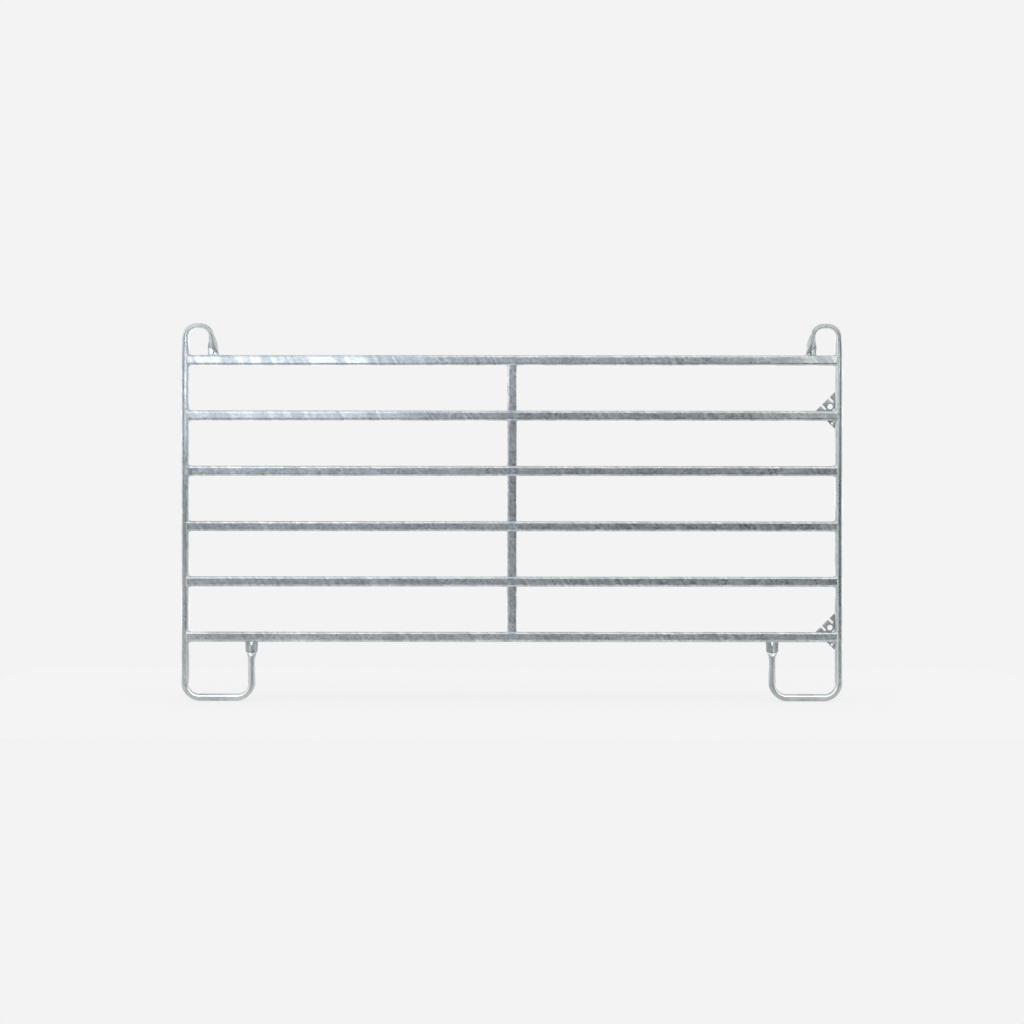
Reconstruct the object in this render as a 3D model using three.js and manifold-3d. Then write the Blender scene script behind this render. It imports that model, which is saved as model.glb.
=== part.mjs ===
// A galvanised livestock panel of the kind that is chained to its neighbours to make pens and races.
// Two round end tubes are each bent into a carrying handle at the top and a skid foot at the bottom, with
// their tips pressed flat and welded to the rails. Six square rails run between them, short uprights stiffen
// the middle, and slotted plates at one end catch the links of the coupling chain.
// Lengths are in millimetres. X runs along the panel, Y through it and Z up from the ground.
import * as THREE from 'three';
import { mergeVertices } from 'three/addons/utils/BufferGeometryUtils.js';
import Module from 'manifold-3d';

const wasm = await Module();
wasm.setup();

// Overall sizes
const panelLength = 2980;
const panelHeight = 1700;
const railCount = 6;
const bottomRailHeight = 289;
const handleHeight = 166;

// Square tube with rounded corners, for the rails and the uprights
const railSide = 45;
const railWall = 1.5;
const railCornerRadius = 10;
const cornerSegments = 4;
const beadCornerSegments = 2;

// Round tube of the two ends
const endTubeDiameter = 38;
const endTubeWall = 2;
const tubeSides = 20;

// The carrying handle at the top of an end tube. The bend squeezes the tube and draws its edges inwards.
// The handle is bent a little less than half a turn, so its tip leans on the way down to the rail.
const handleWidth = 127;
const handleLean = 9 * Math.PI / 180;
const handleBendRadius = 52;
const handleSqueeze = 8.5;
const handleEdgeDraw = 4;
const handleRelaxLength = 55;
const handleInnerSteps = 5;
const handleOuterSteps = 7;

// The handle's tip, pressed between two jaws until it sits on the flat of the rail
const handleTipLength = 44;
const handleTipRamp = 60;
const handleTipSqueeze = 10;
const handleTipSharpness = 1;
const handleTipSteps = 2;

// The skid foot at the bottom of an end tube. Each bend squeezes the tube, and it stays a little low between
// them.
const footWidth = 299;
const footBendRadius = 66;
const footSqueeze = 5;
const skidSqueeze = 2.5;
const footBendSteps = 5;

// The foot's tip, pressed until its walls almost touch, with a steep shoulder at the edge of the jaws
const footTipLength = 42;
const footTipRamp = 75;
const footTipSlit = 0.4;
const footTipSharpness = 6;
const footTipSteps = 4;

// The V-shaped notch in each tip that lets molten zinc drain
const drainNotchWidth = 14;
const drainNotchEnd = 5;
const drainNotchDepth = 17;

// How the pieces meet
const seatGap = 0.3;
const railLap = 8;
const cutOverrun = 5;

// Weld beads
const beadReach = 3;
const beadOnPost = 4.5;
const beadPastRail = 9;
const tipBeadHeight = 3;
const tipBeadLand = 0.8;

// The slotted plate that catches the chain, and the small plate below it that anchors the chain's other end
const plateThickness = 5;
const chainPlateLeg = 84;
const chainPlateBeadSpace = 4.5;
const chainSlotWidth = 9.5;
const chainSlotDepth = 27;
const chainSlotSpacing = 47;
const chainHoleDiameter = 24;
const chainHoleInset = 20;
const anchorPlateLeg = 34;
const anchorPlateBeadSpace = 1;
const anchorHoleDiameter = 10.5;
const anchorHoleInset = 11;
const holeSegments = 20;

// Places worked out from the sizes
const tubeRadius = endTubeDiameter / 2;
const tubeFlat = tubeRadius * Math.cos(Math.PI / tubeSides);
const postX = panelLength / 2 - tubeFlat;
const railHalf = railSide / 2;
const railFlatHalf = railHalf - railCornerRadius;
const railHalfLength = postX - tubeRadius + railLap;
const topRailHeight = panelHeight - handleHeight;
const railPitch = (topRailHeight - bottomRailHeight) / (railCount - 1);
const handleSeat = topRailHeight + railHalf + seatGap;
const footSeat = bottomRailHeight - railHalf - seatGap;
const footTipSqueeze = tubeRadius - endTubeWall - footTipSlit / 2;
const chainRails = [1, railCount - 1];

// The corners of the plates are cut off to clear the bead in the angle between rail and post
const beadCorner = tubeRadius - tubeFlat + beadOnPost + beadReach;
const chainPlateCornerCut = beadCorner + chainPlateBeadSpace;
const anchorPlateCornerCut = beadCorner + anchorPlateBeadSpace;

const zincSheet = new THREE.MeshStandardMaterial({ color: 0xa9afb3, metalness: 0.85, roughness: 0.38 });
const zincTube = new THREE.MeshStandardMaterial({ color: 0xb2b8bc, metalness: 0.85, roughness: 0.34 });
const zincPlate = new THREE.MeshStandardMaterial({ color: 0x9a9fa2, metalness: 0.8, roughness: 0.48 });
const zincWeld = new THREE.MeshStandardMaterial({ color: 0xc0c5c8, metalness: 0.8, roughness: 0.42 });

// Turns a three.js geometry into a solid that can be cut
function solidOf(geometry) {
  const bare = geometry.clone();
  bare.deleteAttribute('normal');
  bare.deleteAttribute('uv');
  const merged = mergeVertices(bare);
  return new wasm.Manifold(new wasm.Mesh({
    numProp: 3,
    vertProperties: merged.attributes.position.array,
    triVerts: new Uint32Array(merged.index.array),
  }));
}

// Turns a solid back into a geometry with flat-shaded faces
function geometryOf(solid) {
  const mesh = solid.getMesh();
  const indexed = new THREE.BufferGeometry();
  indexed.setAttribute('position', new THREE.BufferAttribute(mesh.vertProperties, 3));
  indexed.setIndex(new THREE.BufferAttribute(mesh.triVerts, 1));
  const geometry = indexed.toNonIndexed();
  geometry.computeVertexNormals();
  return geometry;
}

// A closed skin over a ring of loops, each with the same number of points, the last joined to the first
function bandGeometry(loops) {
  const count = loops[0].length;
  const corners = [];
  loops.forEach((loop, j) => {
    const next = loops[(j + 1) % loops.length];
    loop.forEach((a, i) => {
      const b = loop[(i + 1) % count];
      const c = next[(i + 1) % count];
      const d = next[i];
      corners.push(a, b, c, a, c, d);
    });
  });
  return new THREE.BufferGeometry().setFromPoints(corners);
}

// A square with rounded corners, grown outwards by an offset
function roundedSquare(offset, Kind = THREE.Shape) {
  const half = railHalf + offset;
  const radius = railCornerRadius + offset;
  const inner = half - radius;
  const outline = new Kind();
  outline.absarc(inner, inner, radius, 0, Math.PI / 2, false);
  outline.absarc(-inner, inner, radius, Math.PI / 2, Math.PI, false);
  outline.absarc(-inner, -inner, radius, Math.PI, 1.5 * Math.PI, false);
  outline.absarc(inner, -inner, radius, 1.5 * Math.PI, 2 * Math.PI, false);
  outline.closePath();
  return outline;
}

function extruded(shape, depth, curveSegments = cornerSegments / 2) {
  return new THREE.ExtrudeGeometry(shape, { depth, bevelEnabled: false, curveSegments })
    .translate(0, 0, -depth / 2);
}

// A bar of the square tube's outline along Z, filled and grown by an offset
function filledBar(length, offset, segments = cornerSegments) {
  return extruded(roundedSquare(offset), length, segments / 2);
}

// A length of the square tube along Z, open at both ends
function squareTube(length) {
  const outline = roundedSquare(0);
  outline.holes.push(roundedSquare(-railWall, THREE.Path));
  return extruded(outline, length);
}

// One wall line of the round tube after it has been squeezed, as [across, depth] pairs: two half circles
// joined by two flats. A positive squeeze presses the tube front to back, a negative one presses it in the
// plane of the bend. The wall keeps its length round the section, so what is lost one way is gained the
// other. The edge draw moves the front and back edges towards the inside of the bend.
function squeezedSection(radius, squeeze, edgeDraw = 0) {
  const endRadius = radius - Math.abs(squeeze);
  const flatHalf = Math.PI * Math.abs(squeeze) / 2;
  return Array.from({ length: tubeSides }, (_, i) => {
    const angle = (i + 0.5) * 2 * Math.PI / tubeSides;
    const across = endRadius * Math.cos(angle) + Math.sign(Math.cos(angle)) * (squeeze > 0 ? flatHalf : 0);
    const depth = endRadius * Math.sin(angle) + Math.sign(Math.sin(angle)) * (squeeze < 0 ? flatHalf : 0);
    return [across + edgeDraw * Math.sin(angle) ** 2, depth];
  });
}

// The end tube is fed and bent as on a tube bender, from the handle's tip to the foot's tip. Each station
// holds its place, the heading of the tube there and the distance fed since the handle's tip. The leaning tip
// starts a little below its seat, to be cut level there.
function bentCentreline() {
  const stations = [];
  let x = -handleWidth - cutOverrun * Math.sin(handleLean);
  let z = handleSeat - cutOverrun * Math.cos(handleLean);
  let heading = Math.PI / 2 - handleLean;
  let fed = -cutOverrun;
  const mark = () => stations.push({ x, z, heading, fed });
  const feed = (length, steps = 1) => {
    for (let i = 0; i < steps; i += 1) {
      x += Math.cos(heading) * length / steps;
      z += Math.sin(heading) * length / steps;
      fed += length / steps;
      mark();
    }
  };
  const bend = (radius, angle, steps) => {
    const side = Math.sign(angle);
    const centreX = x - side * radius * Math.sin(heading);
    const centreZ = z + side * radius * Math.cos(heading);
    for (let i = 0; i < steps; i += 1) {
      heading += angle / steps;
      x = centreX + side * radius * Math.sin(heading);
      z = centreZ - side * radius * Math.cos(heading);
      fed += radius * Math.abs(angle) / steps;
      mark();
    }
  };

  const topSection = squeezedSection(tubeRadius, -handleSqueeze, handleEdgeDraw);
  const handleTop = panelHeight + Math.min(...topSection.map(([across]) => across));
  const handleRise = handleTop - handleSeat;
  const outerBendRadius = (handleWidth - handleBendRadius - handleRise * Math.tan(handleLean))
    * Math.cos(handleLean) / (1 - Math.sin(handleLean));
  const outerBendAngle = Math.PI / 2 - handleLean;
  const handleLeg = (handleRise - outerBendRadius * (1 - Math.sin(handleLean))) / Math.cos(handleLean);
  const skidSection = squeezedSection(tubeRadius, -skidSqueeze);
  const footBendHeight = footBendRadius + Math.max(...skidSection.map(([across]) => across));
  const footArc = Math.PI * footBendRadius / 2;
  const skidLength = footWidth - 2 * footBendRadius;

  mark();
  feed(cutOverrun + handleTipLength);
  feed(handleLeg - handleTipLength, handleTipSteps);
  bend(outerBendRadius, -outerBendAngle, handleOuterSteps);
  const handleApex = fed;
  bend(handleBendRadius, -Math.PI / 2, handleInnerSteps);
  const handleEnd = fed;
  feed(handleRelaxLength, 2);
  feed(handleTop - handleBendRadius - handleRelaxLength - footBendHeight);
  const firstBend = fed;
  bend(footBendRadius, -Math.PI / 2, footBendSteps);
  feed(skidLength);
  const secondBend = fed;
  bend(footBendRadius, -Math.PI / 2, footBendSteps);
  feed(footSeat - footBendHeight - footTipRamp - footTipLength);
  for (let i = footTipSteps; i > 0; i -= 1) {
    feed(footTipRamp * (2 * i - 1) / footTipSteps ** 2);
  }
  feed(footTipLength);

  return stations.map((station) => {
    const at = station.fed;
    const inHandle = 1 - THREE.MathUtils.smoothstep(at, handleApex, handleEnd + handleRelaxLength);
    const inBend = hump(at, firstBend, footArc) + hump(at, secondBend, footArc);
    const inFoot = THREE.MathUtils.smoothstep(at, firstBend, firstBend + footArc);
    const bent = handleSqueeze * inHandle + skidSqueeze * inFoot + (footSqueeze - skidSqueeze) * inBend;
    const handlePressed = pressing(at - handleTipLength, handleTipRamp, handleTipSharpness);
    const footPressed = pressing(fed - at - footTipLength, footTipRamp, footTipSharpness);
    const squeezeAtHandle = THREE.MathUtils.lerp(-bent, handleTipSqueeze, handlePressed);
    return {
      ...station,
      squeeze: THREE.MathUtils.lerp(squeezeAtHandle, footTipSqueeze, footPressed),
      edgeDraw: handleEdgeDraw * inHandle * (1 - handlePressed),
    };
  });
}

// Rises from 0 to 1 and falls back over a stretch of the tube
function hump(at, start, length) {
  const along = THREE.MathUtils.clamp((at - start) / length, 0, 1);
  return Math.sin(Math.PI * along);
}

// How far the jaws have pressed the tube at a distance from their edge: fully between the jaws, with a
// crease at their edge, then less and less along the ramp. The sharper it is, the steeper the shoulder.
function pressing(fromJaws, ramp, sharpness) {
  return (1 - THREE.MathUtils.clamp(fromJaws / ramp, 0, 1)) ** sharpness;
}

// One wall surface of the bent tube: a loop of points round each station
function wallLoops(stations, radius) {
  return stations.map(({ x, z, heading, squeeze, edgeDraw }) =>
    squeezedSection(radius, squeeze, edgeDraw).map(([across, depth]) => new THREE.Vector3(
      x + across * Math.sin(heading),
      depth,
      z - across * Math.cos(heading),
    )));
}

function endTubeGeometry() {
  const stations = bentCentreline();
  const outside = wallLoops(stations, tubeRadius);
  const inside = wallLoops(stations, tubeRadius - endTubeWall);
  const tube = solidOf(bandGeometry([...outside, ...inside.reverse()]));
  const notch = () => slotCutter(drainNotchWidth, drainNotchEnd, drainNotchDepth, endTubeDiameter);
  const underTip = new THREE.BoxGeometry(2 * endTubeDiameter, endTubeDiameter, endTubeDiameter)
    .translate(-handleWidth, 0, handleSeat - tubeRadius);
  return geometryOf(tube
    .subtract(solidOf(underTip))
    .subtract(solidOf(notch().rotateX(Math.PI).translate(-handleWidth, 0, handleSeat)))
    .subtract(solidOf(notch().translate(-footWidth, 0, footSeat))));
}

// The shape cut away for a slot with a round end, open upwards at its own origin and right through. Where
// its mouth is wider than its end it is a notch that narrows to its tip.
function slotCutter(mouthWidth, endWidth, depth, through) {
  const radius = endWidth / 2;
  const outline = new THREE.Shape();
  outline.moveTo(mouthWidth / 2, cutOverrun);
  outline.lineTo(-mouthWidth / 2, cutOverrun);
  outline.lineTo(-mouthWidth / 2, 0);
  outline.absarc(0, radius - depth, radius, Math.PI, 2 * Math.PI, false);
  outline.lineTo(mouthWidth / 2, 0);
  outline.closePath();
  return extruded(outline, through + 2 * cutOverrun, holeSegments / 4).rotateX(Math.PI / 2);
}

// The round post, filled and grown by an offset, for fitting what meets it
function filledPost(length, offset) {
  const radius = tubeRadius + offset;
  return new THREE.CylinderGeometry(radius, radius, length, tubeSides)
    .rotateY(Math.PI / tubeSides)
    .rotateX(Math.PI / 2);
}

// A rail runs from post to post, its ends hollowed to fit round the posts
function railGeometry() {
  const rail = solidOf(squareTube(2 * railHalfLength).rotateY(Math.PI / 2));
  const post = (place) => solidOf(filledPost(railSide + 2 * cutOverrun, seatGap).translate(place, 0, 0));
  return geometryOf(rail.subtract(post(postX)).subtract(post(-postX)));
}

// An upright fills the space between two rails, its ends hollowed to fit their rounded edges
function uprightGeometry() {
  const upright = solidOf(squareTube(railPitch));
  const rail = (place) => solidOf(filledBar(railSide + 2 * cutOverrun, seatGap)
    .rotateY(Math.PI / 2)
    .translate(0, 0, place));
  return geometryOf(upright.subtract(rail(railPitch / 2)).subtract(rail(-railPitch / 2)));
}

// The bead round the end of a rail, on the post at the rail's right-hand end. Its own origin is on the
// post's axis at the rail's height.
function railBeadGeometry() {
  const toRailEnd = tubeRadius - railLap;
  const spanFrom = toRailEnd - beadPastRail;
  const spanTo = tubeRadius + beadOnPost;
  const span = spanTo - spanFrom;
  const around = filledBar(span, beadReach, beadCornerSegments)
    .rotateY(Math.PI / 2)
    .translate(-(spanFrom + spanTo) / 2, 0, 0);
  const rail = filledBar(span, seatGap)
    .rotateY(Math.PI / 2)
    .translate(seatGap - toRailEnd - span / 2, 0, 0);
  const height = railSide + 2 * (beadReach + cutOverrun);
  return geometryOf(solidOf(around)
    .intersect(solidOf(filledPost(height, beadOnPost)))
    .subtract(solidOf(filledPost(height + cutOverrun, seatGap)))
    .subtract(solidOf(rail)));
}

// The bead round the foot of an upright, on the rail below it. Its own origin is at the rail's centre.
function uprightBeadGeometry() {
  const height = railHalf + beadReach - railFlatHalf;
  const width = railSide + 2 * (beadReach + cutOverrun);
  const upright = (length, offset, segments) => solidOf(filledBar(length, offset, segments)
    .translate(0, 0, railFlatHalf + length / 2));
  const rail = (offset, segments) => solidOf(filledBar(width, offset, segments).rotateY(Math.PI / 2));
  return geometryOf(upright(height, beadReach, beadCornerSegments)
    .intersect(rail(beadReach, beadCornerSegments))
    .subtract(rail(seatGap))
    .subtract(upright(height + cutOverrun, seatGap)));
}

// The bead round a pressed tip, on the flat of a rail, on one side of the drain notch. Its own origin is in
// the middle of the tip's end face, and it lies on the +X side, to which the tip leans.
function tipBeadGeometry(squeeze, lean) {
  const loop = (reach, height) => squeezedSection(tubeRadius + seatGap + reach, squeeze)
    .map(([across, depth]) => new THREE.Vector3(
      across / Math.cos(lean) + height * Math.tan(lean),
      depth,
      height,
    ));
  const ring = solidOf(bandGeometry([
    loop(beadReach, 0),
    loop(tipBeadLand, tipBeadHeight),
    loop(0, tipBeadHeight),
    loop(0, 0),
  ]));
  const otherSide = new THREE.BoxGeometry(endTubeDiameter * 2, endTubeDiameter, endTubeDiameter);
  return geometryOf(ring.subtract(solidOf(otherSide.translate(drainNotchWidth / 2 - endTubeDiameter, 0, 0))));
}

// A three-cornered plate in the angle between a rail and the post. Its own origin is in that angle, with
// the legs running along -X and +Z.
function cornerPlate(leg, cornerCut, holeDiameter, holeInset) {
  const outline = new THREE.Shape();
  outline.moveTo(-cornerCut, 0);
  outline.lineTo(0, cornerCut);
  outline.lineTo(0, leg);
  outline.lineTo(-leg, 0);
  outline.closePath();
  const hole = new THREE.Path();
  hole.absarc(-holeInset, holeInset, holeDiameter / 2, 0, 2 * Math.PI, true);
  outline.holes.push(hole);
  return extruded(outline, plateThickness, holeSegments / 2).rotateX(Math.PI / 2);
}

// The plate's slots run in from its sloping edge, each as wide as a link is thick
function chainPlateGeometry() {
  const plate = solidOf(cornerPlate(chainPlateLeg, chainPlateCornerCut, chainHoleDiameter, chainHoleInset));
  const slot = (place) => solidOf(slotCutter(chainSlotWidth, chainSlotWidth, chainSlotDepth, plateThickness)
    .translate(place, 0, 0)
    .rotateY(-Math.PI / 4)
    .translate(-chainPlateLeg / 2, 0, chainPlateLeg / 2));
  return geometryOf(plate
    .subtract(slot(chainSlotSpacing / 2))
    .subtract(slot(-chainSlotSpacing / 2)));
}

function anchorPlateGeometry() {
  return cornerPlate(anchorPlateLeg, anchorPlateCornerCut, anchorHoleDiameter, anchorHoleInset);
}

function piece(name, geometry, material) {
  const mesh = new THREE.Mesh(geometry, material);
  mesh.name = name;
  return mesh;
}

const shapes = {
  endTube: endTubeGeometry(),
  rail: railGeometry(),
  upright: uprightGeometry(),
  railBead: railBeadGeometry(),
  uprightBead: uprightBeadGeometry(),
  handleInnerBead: tipBeadGeometry(handleTipSqueeze, handleLean),
  handleOuterBead: tipBeadGeometry(handleTipSqueeze, -handleLean),
  footBead: tipBeadGeometry(footTipSqueeze, 0),
  chainPlate: chainPlateGeometry(),
  anchorPlate: anchorPlateGeometry(),
};

// The two beads at a pressed tip, one on each side of its drain notch
function tipBeads(name, innerShape, outerShape) {
  const tip = new THREE.Group();
  const inner = piece(`${name}_inner_weld`, innerShape, zincWeld);
  const outer = piece(`${name}_outer_weld`, outerShape, zincWeld);
  outer.rotation.z = Math.PI;
  tip.add(inner, outer);
  return tip;
}

// An end tube with the beads at its two tips and at each rail, for the right-hand end
function panelEnd(side) {
  const end = new THREE.Group();
  end.add(piece(`${side}_end_tube`, shapes.endTube, zincTube));

  const handleBeads = tipBeads(`${side}_handle`, shapes.handleInnerBead, shapes.handleOuterBead);
  handleBeads.position.set(-handleWidth, 0, handleSeat);
  end.add(handleBeads);

  const footBeads = tipBeads(`${side}_foot`, shapes.footBead, shapes.footBead);
  footBeads.position.set(-footWidth, 0, footSeat);
  footBeads.rotation.x = Math.PI;
  end.add(footBeads);

  for (let i = 0; i < railCount; i += 1) {
    const bead = piece(`rail_${i + 1}_${side}_weld`, shapes.railBead, zincWeld);
    bead.position.z = bottomRailHeight + i * railPitch;
    end.add(bead);
  }
  return end;
}

// The plates at one rail's right-hand end, above and below it
function chainCatch(railNumber) {
  const corner = new THREE.Group();
  const chainPlate = piece(`chain_plate_${railNumber}`, shapes.chainPlate, zincPlate);
  chainPlate.position.z = railHalf + seatGap;
  corner.add(chainPlate);
  const anchorPlate = piece(`anchor_plate_${railNumber}`, shapes.anchorPlate, zincPlate);
  anchorPlate.position.z = -railHalf - seatGap;
  anchorPlate.rotation.x = Math.PI;
  corner.add(anchorPlate);
  corner.position.set(postX - tubeFlat - seatGap, 0, bottomRailHeight + (railNumber - 1) * railPitch);
  return corner;
}

const panel = new THREE.Group();

const rightEnd = panelEnd('right');
rightEnd.position.x = postX;
panel.add(rightEnd);

const leftEnd = panelEnd('left');
leftEnd.position.x = -postX;
leftEnd.rotation.z = Math.PI;
panel.add(leftEnd);

for (let i = 0; i < railCount; i += 1) {
  const rail = piece(`rail_${i + 1}`, shapes.rail, zincSheet);
  rail.position.z = bottomRailHeight + i * railPitch;
  panel.add(rail);
}

for (let i = 0; i < railCount - 1; i += 1) {
  const bay = new THREE.Group();
  bay.position.z = bottomRailHeight + (i + 0.5) * railPitch;
  bay.add(piece(`upright_${i + 1}`, shapes.upright, zincSheet));

  const lowerBead = piece(`upright_${i + 1}_lower_weld`, shapes.uprightBead, zincWeld);
  lowerBead.position.z = -railPitch / 2;
  bay.add(lowerBead);

  const upperBead = piece(`upright_${i + 1}_upper_weld`, shapes.uprightBead, zincWeld);
  upperBead.position.z = railPitch / 2;
  upperBead.rotation.x = Math.PI;
  bay.add(upperBead);
  panel.add(bay);
}

chainRails.forEach((railNumber) => panel.add(chainCatch(railNumber)));

export default panel;
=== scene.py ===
# %% [markdown]
# # A galvanised livestock panel
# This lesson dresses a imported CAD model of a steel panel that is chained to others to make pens. The real
# one is welded from square and round tube and then dipped whole in molten zinc, so two things give it its
# look: tube that has been bent, squeezed and pressed flat, and a zinc skin that is never the same grey twice.

# %% Load the frame
import math

import bmesh
import bpy
from mathutils import Matrix, Vector


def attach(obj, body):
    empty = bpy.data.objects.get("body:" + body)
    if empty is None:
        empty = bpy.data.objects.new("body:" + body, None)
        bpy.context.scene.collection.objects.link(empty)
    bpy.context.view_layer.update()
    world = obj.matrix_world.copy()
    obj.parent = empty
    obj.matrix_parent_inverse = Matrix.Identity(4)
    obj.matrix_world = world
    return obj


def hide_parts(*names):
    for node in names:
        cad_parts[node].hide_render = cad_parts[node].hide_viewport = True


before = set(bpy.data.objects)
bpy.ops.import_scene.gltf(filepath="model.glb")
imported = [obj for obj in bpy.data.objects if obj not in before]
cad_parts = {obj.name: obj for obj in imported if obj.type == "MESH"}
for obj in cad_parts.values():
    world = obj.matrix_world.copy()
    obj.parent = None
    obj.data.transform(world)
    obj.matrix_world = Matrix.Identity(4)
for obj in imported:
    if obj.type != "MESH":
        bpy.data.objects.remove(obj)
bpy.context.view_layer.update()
print("CAD nodes:", len(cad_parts))

# %% [markdown]
# ## Sizes
# The panel's sizes in millimetres, as its maker would write them. Blender works in metres, so each length
# passes through MM once, when a mesh is finished. The left end is the right one turned half round about the
# upright axis, so what belongs to both ends is made for the right one and then turned.

# %% Sizes of the panel
MM = 0.001

PANEL_LENGTH = 2980
PANEL_HEIGHT = 1700
RAIL_COUNT = 6
BOTTOM_RAIL = 289
TOP_RAIL = 1534
RAIL_PITCH = (TOP_RAIL - BOTTOM_RAIL) / (RAIL_COUNT - 1)

RAIL_SIDE = 45
RAIL_WALL = 1.5
RAIL_CORNER = 10
RAIL_HALF = RAIL_SIDE / 2
RAIL_FLAT = RAIL_HALF - RAIL_CORNER

TUBE_RADIUS = 18.766
TUBE_WALL = 2
POST_X = PANEL_LENGTH / 2 - TUBE_RADIUS
SEAT_GAP = 0.3
RAIL_LAP = 8
SIDES = (("right", 0), ("left", math.pi))


def rail_height(number):
    """The middle of a rail, counted from the bottom one, which is rail 1."""
    return BOTTOM_RAIL + (number - 1) * RAIL_PITCH


def moved(x, z):
    """A move in the plane of the panel."""
    return Matrix.Translation((x * MM, 0, z * MM))


print("rail pitch", RAIL_PITCH, "mm, posts at", POST_X, "mm from the middle")

# %% [markdown]
# ## Camera
# The photograph looks at the panel square on, from half its height and from far away, since no piece shows
# its side. A long lens does that. The picture is 1024 pixels wide, and a metre of the panel takes 222. The
# ground is at the picture's row 701, and the camera leans a hair to one side, as the photographer's did.

# %% Camera
PICTURE_WIDTH = 1024
PIXELS_PER_METRE = 222
GROUND_ROW = 701
LENS = 85
SENSOR = 36
CAMERA_LEAN = -0.0008


def add_object(name, data):
    thing = bpy.data.objects.new(name, data)
    bpy.context.scene.collection.objects.link(thing)
    return thing


camera_data = bpy.data.cameras.new("camera")
camera_data.lens = LENS
camera_data.sensor_width = SENSOR
camera = add_object("camera", camera_data)
distance = LENS / SENSOR * PICTURE_WIDTH / PIXELS_PER_METRE
camera.location = (0, -distance, (GROUND_ROW - PICTURE_WIDTH / 2) / PIXELS_PER_METRE)
camera.rotation_euler = (math.pi / 2, CAMERA_LEAN, 0)
bpy.context.scene.camera = camera
bpy.context.scene.view_settings.view_transform = "Standard"
print("camera at", tuple(round(v, 3) for v in camera.location))

# %% [markdown]
# ## Nodes
# Every material and every Geometry Nodes tree below is built with a few small functions. The first adds a
# node, gives it its settings, and fills its sockets: a plain value is set, and another node's output is
# linked. The next three add the nodes that are needed most often.

# %% Functions that add nodes
def add_node(tree, kind, sockets=None, **settings):
    node = tree.nodes.new(kind)
    for name, value in settings.items():
        setattr(node, name, value)
    for key, value in (sockets or {}).items():
        if isinstance(value, bpy.types.NodeSocket):
            tree.links.new(value, node.inputs[key])
        else:
            node.inputs[key].default_value = value
    return node


def calculate(tree, operation, *values, **settings):
    """What a Math node makes of some values."""
    sockets = dict(enumerate(values))
    return add_node(tree, "ShaderNodeMath", sockets, operation=operation, **settings).outputs[0]


def fade(tree, value, start, end):
    """A soft step from 0 to 1 while a value goes from start to end."""
    return add_node(tree, "ShaderNodeMapRange", {
        "Value": value, "From Min": start, "From Max": end,
    }, interpolation_type="SMOOTHSTEP").outputs["Result"]


def dot(tree, vector, aim):
    """How far a vector reaches towards an aim."""
    return add_node(tree, "ShaderNodeVectorMath", {
        0: vector, 1: aim,
    }, operation="DOT_PRODUCT").outputs["Value"]


def linear(hex_colour):
    """An sRGB hex colour as the linear RGBA that Blender's sockets take."""
    channels = [int(hex_colour[i:i + 2], 16) / 255 for i in (1, 3, 5)]
    return [c / 12.92 if c <= 0.04045 else ((c + 0.055) / 1.055) ** 2.4 for c in channels] + [1.0]


# %% [markdown]
# ## Light
# Polished metal is black in a black room: what it shows is the room. The photograph's greys say that its
# room was white low down behind the panel and grey higher up behind it, pale overhead and at both sides, and
# darker in front, behind the photographer, most of all on the right. The world here is that room. The camera
# itself sees only an even pale backdrop.

# %% World
PAPER = linear("#F3F3F3")
ROOM_STRENGTH = 1.6
FRONT = (0.20, -0.98, 0)
FRONT_SPREAD = (0.46, 0.90)
FRONT_RIGHT = (0.80, -0.60, 0)
FRONT_LEFT = (-0.76, -0.64, 0)
CORNER_SPREAD = (0.90, 0.99)

world = bpy.data.worlds.new("studio")
bpy.context.scene.world = world
world.use_nodes = True
sky = world.node_tree
sky.nodes.clear()
direction = add_node(sky, "ShaderNodeTexCoord").outputs["Generated"]
split = add_node(sky, "ShaderNodeSeparateXYZ", {"Vector": direction})


def by_height(greys):
    """A colour for each height in the room, from straight down (-1) to straight up (1)."""
    place = add_node(sky, "ShaderNodeMapRange", {
        "Value": split.outputs["Z"], "From Min": -1.0, "From Max": 1.0,
    })
    ramp = add_node(sky, "ShaderNodeValToRGB", {"Fac": place.outputs["Result"]})
    for _ in greys[2:]:
        ramp.color_ramp.elements.new(1.0)
    for element, (height, grey) in zip(ramp.color_ramp.elements, greys):
        element.position = (height + 1) / 2
        element.color = linear(grey)
    return ramp.outputs["Color"]


def towards(aim, least, most):
    """How nearly a direction in the room points at the aim, from 0 to 1."""
    return fade(sky, dot(sky, direction, Vector(aim).normalized()), least, most)


def along(axis, start, end):
    """How far a direction has turned along one axis of the room, from 0 to 1."""
    return fade(sky, split.outputs[axis], start, end)


def blend(share, first, second):
    return add_node(sky, "ShaderNodeMix", {0: share, 6: first, 7: second}, data_type="RGBA").outputs[2]


around = by_height([(-0.5, "#B4B4B4"), (0.0, "#D2D3D3"), (0.5, "#F2F2F2"), (0.9, "#E2E2E2")])
behind = by_height([(0.15, "#FFFFFF"), (0.45, "#A4A5A5"), (0.85, "#A4A5A5"), (0.95, "#D4D4D4")])
around = blend(along("Y", 0.0, 0.4), around, behind)
front_wall = blend(along("X", -0.13, 0.15), linear("#8A9096"), linear("#1E2020"))
front_wall = blend(along("Z", 0.14, 0.40), front_wall, linear("#DCDCDC"))
front_wall = blend(along("Z", 0.55, 0.75), front_wall, linear("#FFFFFF"))
room = blend(towards(FRONT, *FRONT_SPREAD), around, front_wall)
room = blend(towards(FRONT_RIGHT, *CORNER_SPREAD), room, linear("#606262"))
room = blend(towards(FRONT_LEFT, *CORNER_SPREAD), room, linear("#868889"))
room_light = add_node(sky, "ShaderNodeBackground", {"Color": room, "Strength": ROOM_STRENGTH})
backdrop = add_node(sky, "ShaderNodeBackground", {"Color": PAPER, "Strength": 1.0})
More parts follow.
